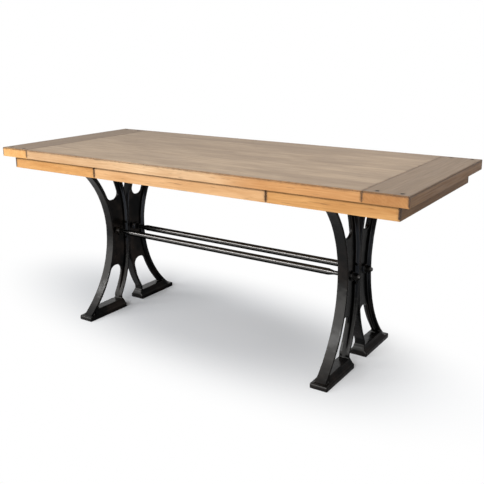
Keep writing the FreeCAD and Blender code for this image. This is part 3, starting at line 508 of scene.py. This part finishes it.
timbers = {
    "top": timber("stained_top", FLAX, OCHRE, GLAZE, top=(BROWN, UMBER), left=(CREAM, BUFF), stave=0.127,
                  figure=0.5, cloud=0.62, arris=0.8, shine=0.22),
    "breadboard": timber("stained_breadboard", GINGER, RUST, GLAZE, top=(CHESTNUT, WALNUT),
                         end=(TAN, RUSSET), left=(WHEAT, TOFFEE), turn=QUARTER_TURN, flecks=0.12,
                         shine=0.35),
    "apron": timber("honey_apron", HONEY, AMBER, GLAZE),
    # The drawer front is paler as painted light.
    "drawer_front": timber("honey_drawer", BLOND, STRAW_GOLD, GLAZE, shift=0.6),
    "end_apron": timber("honey_end_apron", HONEY, AMBER, GLAZE, end=(TAN, RUSSET), turn=QUARTER_TURN,
                        shine=0.18),
    "peg": timber("dark_peg", BOG_OAK, INK, INK, gloss=(0.6, 0.75), shine=0.1),
    "inner": timber("sawn_timber", PALE, STRAW, STRAW, **SAWN),
    "inner_across": timber("sawn_timber_across", PALE, STRAW, STRAW, turn=QUARTER_TURN, **SAWN),
    "drawer": timber("sealed_timber", PALE, STRAW, STRAW, **SEALED),
    "drawer_across": timber("sealed_timber_across", PALE, STRAW, STRAW, turn=QUARTER_TURN, **SEALED),
}
print("timbers:", ", ".join(timbers))

# %% [markdown]
# ## Iron and steel
# The castings come out of sand, so their skin is slightly pitted and lumpy under the black finish, and
# browner where the finish is thin. The bows are grey where they slope out to the feet, partly scuffed by
# shoes and partly a painted highlight. The webs and the sides keep the deepest black, a painted shade set
# by the way they face: they are metal in the shader, so that they show a dark mirror and scatter no
# light. The inner faces of the flanges have a painted blue-grey sheen higher up.

# %% Cast iron
SOOT, THIN_BLACK = (0.004, 0.004, 0.004, 1), (0.013, 0.0102, 0.0088, 1)
RUBBED_GREY, RUBBED_SHARE = (0.08, 0.072, 0.066, 1), 0.3
SCUFF_AND_HIGHLIGHT_GREY = (0.120, 0.117, 0.113, 1)
PAINTED_SHEEN_GREY = (0.040, 0.043, 0.050, 1)
IRON_EDGE = {"Reach": 0.004, "Break-up": 0.8}
IRON_PATCHES, IRON_PATCH_SPREAD = dict(scale=9.0, detail=4.0, roughness=0.6), (0.42, 0.68)
SCUFF_AND_HIGHLIGHT_BEGINS, SCUFF_AND_HIGHLIGHT_ENDS = (-0.03, 0.24, 0.0, 0.5), (0.85, 0.5)
LOOKS_ALONG = (0.35, 0.75)
LOOKS_ACROSS = (0.6, 0.9)
LOOKS_INWARD = (0.032, 0.02)
PAINTED_SHEEN_HEIGHT = (0.2, 0.42)
SAND_SKIN, SAND_SPREAD = dict(scale=420.0, detail=3.0, roughness=0.6), (0.3, 0.7)
SAND_LUMPS, LUMP_SHARE = dict(scale=45.0, detail=2.0), 2.0
SAND_HEIGHT, SAND_STRENGTH = 0.0005, 0.12
IRON_GLOSS = (0.17, 0.25)
IRON_SHINE, IRON_RIM = 0.17, (0.62, 0.62, 0.62, 1)


def cast_iron():
    material, tree, shader, coordinates = start_material("blackened_iron")
    edges = place_group(tree, edge_group, coordinates, IRON_EDGE)
    patches = range_node(tree, noise_node(tree, coordinates, **IRON_PATCHES), *IRON_PATCH_SPREAD)
    black = mix_colour(tree, patches, SOOT, THIN_BLACK)
    rubbed = mix_colour(tree, product(tree, edges["Edge"], RUBBED_SHARE), black, RUBBED_GREY)
    facing = parts_of(tree, face_normal(tree))
    place = parts_of(tree, coordinates)
    # The grey on faces that slope upward is partly scuff and partly a painted highlight.
    sloping = product(tree, range_node(tree, facing["Z"], *SCUFF_AND_HIGHLIGHT_BEGINS),
                      range_node(tree, facing["Z"], *SCUFF_AND_HIGHLIGHT_ENDS))
    scuffed_and_highlit = mix_colour(tree, sloping, rubbed, SCUFF_AND_HIGHLIGHT_GREY)
    # Faces that look along the table lose the grey and turn metal, a painted shade set by the way they
    # face.
    along = range_node(tree, math_node(tree, "ABSOLUTE", facing["X"]), *LOOKS_ALONG)
    sides_without_highlight = mix_colour(tree, along, scuffed_and_highlit, rubbed)
    # The blue-grey on the inner faces of the flanges, higher up, is a painted sheen.
    across = range_node(tree, math_node(tree, "ABSOLUTE", facing["Y"]), *LOOKS_ACROSS)
    inward = range_node(tree, product(tree, facing["Y"], place["Y"]), *LOOKS_INWARD)
    painted_sheen = product(tree, across, inward, range_node(tree, place["Z"], *PAINTED_SHEEN_HEIGHT))
    tree.links.new(mix_colour(tree, painted_sheen, sides_without_highlight, PAINTED_SHEEN_GREY), shader["Base Color"])
    tree.links.new(along, shader["Metallic"])
    skin = noise_node(tree, coordinates, **SAND_SKIN)
    tree.links.new(range_node(tree, skin, *SAND_SPREAD, *IRON_GLOSS), shader["Roughness"])
    lumps = noise_node(tree, coordinates, **SAND_LUMPS)
    height = math_node(tree, "ADD", skin, product(tree, lumps, LUMP_SHARE))
    relief = add_node(tree, "ShaderNodeBump",
                      {"Height": height, "Strength": SAND_STRENGTH, "Distance": SAND_HEIGHT})
    tree.links.new(relief.outputs[0], shader["Normal"])
    shader["Specular IOR Level"].default_value = IRON_SHINE
    shader["Specular Tint"].default_value = IRON_RIM
    return material


iron = cast_iron()
print("iron:", iron.name)

# %% [markdown]
# The rods are turned steel with fine rings from the lathe, grey above and painted black below as shade.
# Nuts and bolts are blackened, and the hidden screws are plain zinc. On a shader that is all metal, the
# specular tint dims the glare at grazing angles, which keeps dark steel dark along its outline.

# %% Steel
BARE_STEEL = (0.45, 0.43, 0.4, 1)
STEEL_EDGE = {"Reach": 0.0015, "Break-up": 0.5}
STEEL_PATCHES, STEEL_PATCH_SPREAD = dict(scale=35.0, detail=4.0, roughness=0.6), (0.35, 0.7)
TURNS_UP = (-0.3, 0.15)
RING_SPREAD, RING_HEIGHT = (0.3, 0.7), 0.0002
BLACK_STEEL, GREY_BLACK = (0.012, 0.0115, 0.011), (0.03, 0.028, 0.026)
ROD_GREY, ROD_BRIGHT = (0.105, 0.101, 0.097), (0.125, 0.121, 0.117)
ZINC, BRIGHT_ZINC = (0.42, 0.4, 0.36), (0.55, 0.53, 0.48)
ROD_RINGS, FORGED_SKIN = (300, 8, 8), (900, 900, 900)


def steel(name, dark, light, gloss, turning, wear=0.0, rim=1.0, ridges=0.12, shade_below=None):
    material, tree, shader, coordinates = start_material(name)
    edges = place_group(tree, edge_group, coordinates, STEEL_EDGE)
    patches = range_node(tree, noise_node(tree, coordinates, **STEEL_PATCHES), *STEEL_PATCH_SPREAD)
    bare = mix_colour(tree, patches, (*dark, 1), (*light, 1))
    # The colour for faces that look down is a painted shade.
    if shade_below:
        above = range_node(tree, parts_of(tree, face_normal(tree))["Z"], *TURNS_UP)
        bare = mix_colour(tree, above, (*shade_below, 1), bare)
    worn = mix_colour(tree, product(tree, edges["Edge"], wear), bare, BARE_STEEL)
    tree.links.new(worn, shader["Base Color"])
    rings = noise_node(tree, stretched(tree, coordinates, turning), detail=2.0)
    tree.links.new(range_node(tree, rings, *RING_SPREAD, *gloss), shader["Roughness"])
    relief = add_node(tree, "ShaderNodeBump",
                      {"Height": rings, "Strength": ridges, "Distance": RING_HEIGHT})
    tree.links.new(relief.outputs[0], shader["Normal"])
    shader["Metallic"].default_value = 1.0
    shader["Specular Tint"].default_value = (rim, rim, rim, 1)
    return material


metals = {
    "iron": iron,
    "rod": steel("dark_rod", ROD_GREY, ROD_BRIGHT, gloss=(0.22, 0.25), turning=ROD_RINGS, rim=0.1,
                 ridges=0.002, shade_below=BLACK_STEEL),
    "nut": steel("black_nut", BLACK_STEEL, GREY_BLACK, gloss=(0.35, 0.5), turning=FORGED_SKIN, rim=0.3),
    "screw": steel("zinc_screw", ZINC, BRIGHT_ZINC, gloss=(0.3, 0.4), turning=FORGED_SKIN, wear=0.5),
}
print("metals:", ", ".join(metals))

# %% [markdown]
# ## Which finish goes where
# Every CAD node takes a finish from the tables above. The longest start of its name that the table
# knows decides which.

# %% Give the nodes their finishes
FINISHES = {
    "top_panel": timbers["top"],
    "breadboard": timbers["breadboard"],
    "breadboard_pegs": timbers["peg"],
    "front_apron": timbers["apron"],
    "back_apron": timbers["apron"],
    "end_apron": timbers["end_apron"],
    "corner_block": timbers["inner"],
    "glue_blocks": timbers["inner"],
    "bearer": timbers["inner_across"],
    "bearer_screws": metals["screw"],
    "drawer_front": timbers["drawer_front"],
    "drawer_side": timbers["drawer_across"],
    "drawer_back": timbers["drawer"],
    "drawer_bottom": timbers["drawer"],
    "drawer_guide": timbers["inner_across"],
    "drawer_runner": timbers["inner_across"],
    "drawer_stops": timbers["inner"],
    "guide_screws": metals["screw"],
    "trestle": metals["iron"],
    "bearer_bolts": metals["nut"],
    "waist_bolts": metals["nut"],
    "waist_nuts": metals["nut"],
    "stretcher_rod": metals["rod"],
    "rod_": metals["nut"],
}


def finish_of(node_name):
    fitting = [start for start in FINISHES if node_name.startswith(start)]
    return FINISHES[max(fitting, key=len)]


for node_name, node in nodes.items():
    node.data.materials.clear()
    node.data.materials.append(finish_of(node_name))
print("finishes given to", len(nodes), "nodes")

# %% [markdown]
# ## Pieces that stand for CAD nodes
# The imported nodes are right in size and place but plain: their edges are sharp and their threads
# smooth. The next cells make fuller pieces for them. A new piece rides on a body, so that it moves with
# it, and hides the node that it stands for. Some nodes hold several like solids. Walking from each vertex
# to its neighbours finds them one by one, and their boxes tell where the new pieces go.

# %% Put a piece in place
SMOOTH_BELOW = math.radians(32)
SAME_PLACE = 1e-6


def set_piece(name, shape, finish, node_name, body="table", smooth_below=SMOOTH_BELOW):
    mesh = bpy.data.meshes.new(name)
    shape.to_mesh(mesh)
    shape.free()
    mesh.shade_smooth()
    mesh.set_sharp_from_angle(angle=smooth_below)
    piece = new_piece(name, mesh, finish)
    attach(piece, body)
    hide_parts(node_name)
    print(name, "stands for", node_name, "with", len(mesh.polygons), "faces")


def merged_copy(node_name):
    shape = bmesh.new()
    shape.from_mesh(nodes[node_name].data)
    bmesh.ops.remove_doubles(shape, verts=shape.verts, dist=SAME_PLACE)
    return shape


def solid_boxes(node_name):
    shape = merged_copy(node_name)
    waiting = set(shape.verts)
    boxes = []
    while waiting:
        front = [waiting.pop()]
        corners = []
        while front:
            vertex = front.pop()
            corners.append(vertex.co.copy())
            near = {edge.other_vert(vertex) for edge in vertex.link_edges} & waiting
            waiting -= near
            front += near
        low = Vector([min(corner[axis] for corner in corners) for axis in range(3)])
        high = Vector([max(corner[axis] for corner in corners) for axis in range(3)])
        boxes.append((low, high))
    shape.free()
    return sorted(boxes, key=lambda box: tuple(box[0]))


print("pieces are smooth below", round(math.degrees(SMOOTH_BELOW)), "degrees")

# %% [markdown]
# ## Eased boards
# A joiner takes the sharp edge off every board that a hand can reach. The board is a merged copy of its
# node, with the flat faces joined up again, and its long outer edges get a small rounded bevel. A bevel
# in the mesh is better here than one in the material, because the outline and the mesh itself then
# show it too.

# %% Ease the boards
EASE = 0.0009
EASE_STEPS = 2
LONG_EDGE = 0.012
SHARP_ABOVE = math.radians(25)
FLAT_BELOW = math.radians(0.3)
EASED_BOARDS = {
    "top_panel": "top_wood",
    "breadboard_left": "breadboard_wood",
    "breadboard_right": "breadboard_wood",
    "front_apron_left": "apron_wood",
    "front_apron_right": "apron_wood",
    "end_apron_left": "apron_wood",
    "end_apron_right": "apron_wood",
    "back_apron": "apron_wood",
    "drawer_front": "apron_wood",
    "drawer_side_left": "drawer_wood",
    "drawer_side_right": "drawer_wood",
    "drawer_back": "drawer_wood",
}


def eased_board(node_name):
    shape = merged_copy(node_name)
    bmesh.ops.dissolve_limit(shape, angle_limit=FLAT_BELOW, use_dissolve_boundaries=False,
                             verts=shape.verts, edges=shape.edges, delimit=set())
    sharp = [edge for edge in shape.edges
             if edge.calc_face_angle_signed() > SHARP_ABOVE and edge.calc_length() > LONG_EDGE]
    bmesh.ops.bevel(shape, geom=sharp, offset=EASE, offset_type="OFFSET", segments=EASE_STEPS,
                    profile=0.5, affect="EDGES", clamp_overlap=True, material=-1)
    return shape


for node_name, slot in EASED_BOARDS.items():
    body = nodes[node_name]["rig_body"]
    set_piece("eased_" + node_name, eased_board(node_name), finish_of(node_name), node_name,
              body=body, smooth_below=FLAT_BELOW)

# %% [markdown]
# ## Cast trestles
# Iron poured in sand has no sharp edge and no sharp inner corner, because sand can't hold them.
# Bevelling every edge of so many curves would be long work. A voxel remesh rebuilds the whole skin from
# small cells instead, and a few rounds of smoothing then round the edges and fill the corners, much as
# the sand does. The last step moves the skin in and out by a fraction of a millimetre, so light runs
# unevenly along it.

# %% Cast the trestles
GRAIN_OF_SAND = 0.0022
SMOOTHING_ROUNDS = 4
SMOOTHING = 0.5
UNEVENNESS = 0.00035
LUMP_SIZE = 0.022


def cast_shape(node_name):
    mould = bpy.data.meshes.new("mould")
    pattern = merged_copy(node_name)
    pattern.to_mesh(mould)
    pattern.free()
    box = bpy.data.objects.new("mould", mould)
    bpy.context.scene.collection.objects.link(box)
    sand = box.modifiers.new("sand", "REMESH")
    sand.mode = "VOXEL"
    sand.voxel_size = GRAIN_OF_SAND
    bpy.context.view_layer.update()
    poured = bpy.data.meshes.new_from_object(box.evaluated_get(bpy.context.evaluated_depsgraph_get()))
    bpy.data.objects.remove(box)
    shape = bmesh.new()
    shape.from_mesh(poured)
    bpy.data.meshes.remove(poured)
    bpy.data.meshes.remove(mould)
    for _ in range(SMOOTHING_ROUNDS):
        bmesh.ops.smooth_vert(shape, verts=shape.verts, factor=SMOOTHING, use_axis_x=True,
                              use_axis_y=True, use_axis_z=True)
    shape.normal_update()
    for vertex in shape.verts:
        vertex.co += vertex.normal * noise.noise(vertex.co / LUMP_SIZE) * UNEVENNESS
        vertex.co.z = max(vertex.co.z, 0.0)
    return shape


for node_name in [name for name in nodes if name.startswith("trestle")]:
    set_piece("cast_" + node_name, cast_shape(node_name), metals["iron"], node_name)

# %% [markdown]
# ## Turned and forged pieces
# Rods, nuts, bolts, washers, screws and pegs are all stacks of rings. A circle is extruded from ring to
# ring, and each ring gives its vertices a width, a height and a number of sides: none for a turned
# ring, six for the flats of a nut. Where a ring of six sides meets a round one on a slope, the corners
# of the flats come out chamfered in arcs, as they do on a forged nut.

# %% Stack of rings
RING_PARTS = 48


def ring(across, height, sides=0, fall=0.0):
    return across, height, sides, fall


def ring_reach(across, sides, angle):
    if not sides:
        return across / 2
    sector = 2 * math.pi / sides
    return across / 2 / math.cos(angle % sector - sector / 2)


def move_ring(loop, across, height, sides, fall):
    for vertex in loop:
        angle = math.atan2(vertex.co.y, vertex.co.x)
        reach = ring_reach(across, sides, angle)
        lift = height + fall * (reach - across / 2)
        vertex.co = (reach * math.cos(angle), reach * math.sin(angle), lift)


def stack_rings(shape, rings, seat, open_bore=False):
    loop = bmesh.ops.create_circle(shape, segments=RING_PARTS, radius=1.0)["verts"]
    edges = list({edge for vertex in loop for edge in vertex.link_edges})
    first_edges, made = edges, list(loop)
    move_ring(loop, *rings[0])
    for next_ring in rings[1:]:
        grown = bmesh.ops.extrude_edge_only(shape, edges=edges)["geom"]
        loop = [item for item in grown if isinstance(item, bmesh.types.BMVert)]
        fresh = set(loop)
        edges = [item for item in grown
                 if isinstance(item, bmesh.types.BMEdge) and fresh.issuperset(item.verts)]
        made += loop
        move_ring(loop, *next_ring)
    if open_bore:
        bmesh.ops.bridge_loops(shape, edges=first_edges + edges)
    else:
        bmesh.ops.edgeloop_fill(shape, edges=first_edges)
        bmesh.ops.edgeloop_fill(shape, edges=edges)
    bmesh.ops.transform(shape, matrix=seat, verts=made)


def seat_on(place, axis, corner):
    axis, corner = Vector(axis), Vector(corner)
    turn = Matrix((corner, axis.cross(corner), axis)).transposed().to_4x4()
    return Matrix.Translation(place) @ turn


def closed_shape(shape):
    bmesh.ops.recalc_face_normals(shape, faces=shape.faces)
    return shape


print("a ring has", RING_PARTS, "parts")

# %% [markdown]
# The rods are turned down at each end: a taper, a short plain neck and a threaded stud. The profile
# lists the distance from the tip and the width there. The thread is a small triangle swept round the
# stud. A spin that lifts a little at every step does that in one operator, and it is swept only at the
# tip, where the nut leaves the thread in view.

# %% Turn the rods
ROD_WIDTH = 0.0254
STUD_WIDTH = 0.016
STUD_CORE = 0.0139
NECK_WIDTH = 0.0158
THREAD_PITCH = 0.002
THREAD_STEPS = 20
THREAD_START, THREAD_TURNS = 0.0014, 4
THREAD_BITE = 0.0001
STUD_PROFILE = (
    (0.0000, 0.0112),
    (0.0014, STUD_CORE),
    (0.0800, STUD_CORE),
    (0.0806, NECK_WIDTH),
    (0.1050, NECK_WIDTH),
    (0.1275, 0.0247),
    (0.1290, 0.0251),
    (0.1310, ROD_WIDTH),
)


def sweep_thread(shape, seat):
    root, crest = STUD_CORE / 2 - THREAD_BITE, STUD_WIDTH / 2
    corners = ((root, THREAD_START), (crest, THREAD_START + THREAD_PITCH / 2),
               (root, THREAD_START + THREAD_PITCH))
    tooth = shape.faces.new([shape.verts.new((reach, 0, height)) for reach, height in corners])
    before = set(shape.verts) - set(tooth.verts)
    bmesh.ops.spin(shape, geom=[tooth, *tooth.edges, *tooth.verts], cent=(0, 0, 0), axis=(0, 0, 1),
                   dvec=(0, 0, THREAD_PITCH / THREAD_STEPS), angle=2 * math.pi * THREAD_TURNS,
                   steps=THREAD_TURNS * THREAD_STEPS)
    bmesh.ops.transform(shape, matrix=seat, verts=list(set(shape.verts) - before))


def turned_rod(node_name):
    low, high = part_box(node_name)
    middle = (low + high) / 2
    length = high.x - low.x
    shape = bmesh.new()
    near_end = [ring(width, place) for place, width in STUD_PROFILE]
    far_end = [ring(width, length - place) for place, width in reversed(STUD_PROFILE)]
    left_seat = seat_on((low.x, middle.y, middle.z), (1, 0, 0), (0, 0, 1))
    right_seat = seat_on((high.x, middle.y, middle.z), (-1, 0, 0), (0, 0, 1))
    stack_rings(shape, near_end + far_end, left_seat)
    sweep_thread(shape, left_seat)
    sweep_thread(shape, right_seat)
    return closed_shape(shape)


for node_name in ("stretcher_rod_front", "stretcher_rod_back"):
    set_piece("turned_" + node_name, turned_rod(node_name), metals["rod"], node_name)

# %% [markdown]
# A forged nut is a six-sided bar, chamfered at both faces by a round cutter, with a countersunk bore. A
# bolt is the same head on a shank, and a washer is a ring with eased edges. Their sizes are those of
# the solids that they stand for, and their places are read from the boxes of those solids.

# %% Shapes of nuts, bolts and washers
HEX = 6
CHAMFER_SLOPE = math.tan(math.radians(30))
CHAMFER_START = 0.93
COUNTERSINK = 1.12
CROWN_SHARE, CROWN_LIFT = 0.8, 0.3
TIP_SHARE = 0.1
WASHER_EASE = 0.2


def hex_nut_rings(flats, height, bore):
    face = flats * CHAMFER_START
    drop = (flats - face) / 2 * CHAMFER_SLOPE
    sink = bore * COUNTERSINK
    return [ring(bore, (sink - bore) / 2), ring(sink, 0), ring(face, 0),
            ring(flats, drop, HEX, CHAMFER_SLOPE), ring(flats, height - drop, HEX, -CHAMFER_SLOPE),
            ring(face, height), ring(sink, height), ring(bore, height - (sink - bore) / 2)]


def hex_bolt_rings(flats, head, shank, length):
    face = flats * CHAMFER_START
    drop = (flats - face) / 2 * CHAMFER_SLOPE
    tip = shank * TIP_SHARE
    return [ring(face * CROWN_SHARE, 0), ring(face, drop * CROWN_LIFT),
            ring(flats, drop * (1 + CROWN_LIFT), HEX, CHAMFER_SLOPE), ring(flats, head, HEX),
            ring(shank, head), ring(shank, length - tip), ring(shank - 2 * tip, length)]


def washer_rings(outside, bore, height):
    ease = height * WASHER_EASE
    return [ring(bore, ease), ring(bore + 2 * ease, 0), ring(outside - 2 * ease, 0), ring(outside, ease),
            ring(outside, height - ease), ring(outside - 2 * ease, height), ring(bore + 2 * ease, height),
            ring(bore, height - ease)]


ROD_NUT = hex_nut_rings(flats=0.024, height=0.014, bore=STUD_WIDTH)
ROD_WASHER = washer_rings(outside=0.030, bore=0.0164, height=0.003)
WAIST_NUT = hex_nut_rings(flats=0.008, height=0.005, bore=0.005)
WAIST_BOLT = hex_bolt_rings(flats=0.008, head=0.0035, shank=0.005, length=0.030)
PLATE_BOLT = hex_bolt_rings(flats=0.013, head=0.0055, shank=0.008, length=0.0453)
print("rings in a nut, a washer and a bolt:", len(ROD_NUT), len(ROD_WASHER), len(WAIST_BOLT))


# %% Forge the nuts and bolts
def along_x(box):
    middle = (box[0] + box[1]) / 2
    return seat_on((box[0].x, middle.y, middle.z), (1, 0, 0), (0, 0, 1))


def against_y(box):
    middle = (box[0] + box[1]) / 2
    return seat_on((middle.x, box[1].y, middle.z), (0, -1, 0), (1, 0, 0))


def along_z(box):
    middle = (box[0] + box[1]) / 2
    return seat_on((middle.x, middle.y, box[0].z), (0, 0, 1), (1, 0, 0))


def repeat_at(node_name, rings, seat_of, open_bore=False):
    shape = bmesh.new()
    for box in solid_boxes(node_name):
        stack_rings(shape, rings, seat_of(box), open_bore)
    return closed_shape(shape)


FASTENERS = {
    "rod_jam_nuts": dict(rings=ROD_NUT, seat_of=along_x, open_bore=True),
    "rod_end_nuts": dict(rings=ROD_NUT, seat_of=along_x, open_bore=True),
    "rod_inner_washers": dict(rings=ROD_WASHER, seat_of=along_x, open_bore=True),
    "rod_outer_washers": dict(rings=ROD_WASHER, seat_of=along_x, open_bore=True),
    "waist_nuts": dict(rings=WAIST_NUT, seat_of=against_y, open_bore=True),
    "waist_bolts": dict(rings=WAIST_BOLT, seat_of=against_y),
    "bearer_bolts": dict(rings=PLATE_BOLT, seat_of=along_z),
}
for node_name, making in FASTENERS.items():
    forged = repeat_at(node_name, **making)
    set_piece("forged_" + node_name, forged, metals["nut"], node_name)

# %% [markdown]
# The screws under the top have round heads with a square socket, so their stack starts at the socket's
# floor with four sides. The pegs of the breadboards were driven in and pared off, and stand a hair
# proud in a low dome, which is listed as shares of the peg's width and heights over its end.

# %% Screws and pegs
SQUARE = 4
SOCKET_FLOOR, SOCKET_MOUTH, SOCKET_DEPTH = 0.0026, 0.0032, 0.0018
SCREW_HEAD, HEAD_HEIGHT = 0.010, 0.003
HEAD_FLAT, HEAD_ROUND = 0.8, 0.0009
SCREW_SHANK = 0.005
POINT_LENGTH, POINT_SHARE = 0.006, 0.2
PEG_DOME = ((1.0, -0.0008), (0.94, -0.0002), (0.7, 0.0003), (0.35, 0.0006))


def wood_screw_rings(length):
    return [ring(SOCKET_FLOOR, SOCKET_DEPTH, SQUARE), ring(SOCKET_MOUTH, 0, SQUARE),
            ring(SCREW_HEAD * HEAD_FLAT, 0), ring(SCREW_HEAD, HEAD_ROUND), ring(SCREW_HEAD, HEAD_HEIGHT),
            ring(SCREW_SHANK, HEAD_HEIGHT), ring(SCREW_SHANK, length - POINT_LENGTH),
            ring(SCREW_SHANK * POINT_SHARE, length)]


def peg_rings(width, length):
    return [ring(width, 0), *(ring(width * share, length + lift) for share, lift in PEG_DOME)]


BEARER_SCREW = wood_screw_rings(length=0.052)
GUIDE_SCREW = wood_screw_rings(length=0.064)
PEG = peg_rings(width=0.0127, length=0.030)
set_piece("bearer_wood_screws", repeat_at("bearer_screws", BEARER_SCREW, along_z), metals["screw"],
          "bearer_screws")
set_piece("guide_wood_screws", repeat_at("guide_screws", GUIDE_SCREW, along_z), metals["screw"],
          "guide_screws")
set_piece("pared_pegs", repeat_at("breadboard_pegs", PEG, along_z), timbers["peg"],
          "breadboard_pegs")
